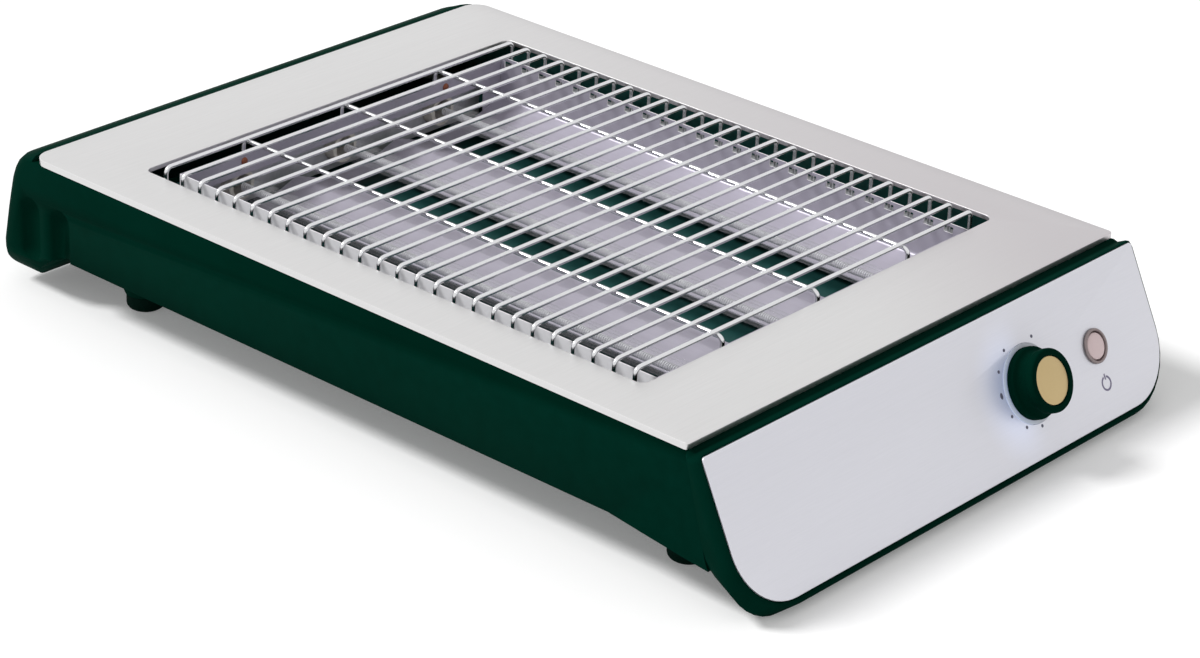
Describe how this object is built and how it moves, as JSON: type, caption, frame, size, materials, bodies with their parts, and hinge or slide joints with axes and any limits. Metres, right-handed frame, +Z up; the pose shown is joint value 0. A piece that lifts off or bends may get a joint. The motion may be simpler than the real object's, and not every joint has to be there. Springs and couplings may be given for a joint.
{
  "type": "horizontal toaster",
  "caption": "Flat toaster with a wire grill over quartz tubes, a reflector and crumb tray, a green moulded housing on rubber feet, and a sloped panel with timer knob and button.",
  "frame": {"origin": "middle of the footprint, on the table under the feet", "axes": "+Y from the control panel to the back end, +X to the right seen from the panel, +Z up"},
  "size_m": [0.2688, 0.4178, 0.0656],
  "materials": {
    "green_plastic": "moulded, semi-gloss, very dark green",
    "plate_steel": "fine brushed, folded edges",
    "satin_metal": "satin, fine grain",
    "wire_chrome": "bright drawn wire, welded",
    "polished_sheet": "polished sheet",
    "tray_enamel": "dark green enamelled sheet",
    "foot_rubber": "matt moulded",
    "gold_disc": "satin gold coloured",
    "pale_ring": "translucent, lit from behind",
    "pink_cap": "translucent, pale",
    "quartz": "frosted quartz",
    "ceramic": "unglazed ceramic",
    "coil_wire": "oxidised resistance wire",
    "zinc_steel": "zinc coated",
    "black_plastic": "moulded, matt",
    "sleeve": "glass fibre sleeve"
  },
  "bodies": {
    "toaster": {"housing": "green_plastic", "front_cap": "green_plastic", "base_cover": "green_plastic", "top_plate": "plate_steel", "button_bezel": "plate_steel", "control_panel": "satin_metal", "grill_rack": "wire_chrome", "reflector": "polished_sheet", "foot_front_left": "foot_rubber", "foot_front_right": "foot_rubber", "foot_back_left": "foot_rubber", "foot_back_right": "foot_rubber", "light_ring": "pale_ring", "heating_tube_left": "quartz", "heating_tube_centre": "quartz", "heating_tube_right": "quartz", "tube_end_left_front": "ceramic", "tube_end_left_back": "ceramic", "tube_end_centre_front": "ceramic", "tube_end_centre_back": "ceramic", "tube_end_right_front": "ceramic", "tube_end_right_back": "ceramic", "heating_coil_left": "coil_wire", "heating_coil_centre": "coil_wire", "heating_coil_right": "coil_wire", "rack_rail_left": "zinc_steel", "rack_rail_right": "zinc_steel", "heater_bracket_front": "zinc_steel", "heater_bracket_back": "zinc_steel", "heater_link_front": "zinc_steel", "heater_link_back": "zinc_steel", "timer_nut": "zinc_steel", "base_screw_front_left": "zinc_steel", "base_screw_front_right": "zinc_steel", "base_screw_back_left": "zinc_steel", "base_screw_back_right": "zinc_steel", "cap_screw_left": "zinc_steel", "cap_screw_right": "zinc_steel", "timer_body": "black_plastic", "switch_body": "black_plastic", "cord_gland": "black_plastic", "terminal_block": "black_plastic", "supply_lead": "sleeve", "timer_lead": "sleeve"},
    "timer": {"timer_knob": "green_plastic", "knob_cap": "gold_disc", "timer_shaft": "zinc_steel"},
    "button": {"stop_button": "pink_cap"},
    "tray": {"crumb_tray": "tray_enamel", "tray_handle": "green_plastic"}
  },
  "joints": [
    {"name": "timer_turn", "type": "hinge", "parent": "toaster", "child": "timer", "pos_m": [0.048, -0.19312, 0.03219], "axis": [0, -0.8942, 0.4478], "range_deg": [-270, 0]},
    {"name": "button_press", "type": "slide", "parent": "toaster", "child": "button", "axis": [0, 0.8942, -0.4478], "range_m": [0, 0.0025], "stiffness_N_per_m": 600},
    {"name": "tray_slide", "type": "slide", "parent": "toaster", "child": "tray", "axis": [0, 1, 0], "range_m": [0, 0.24]}
  ]
}
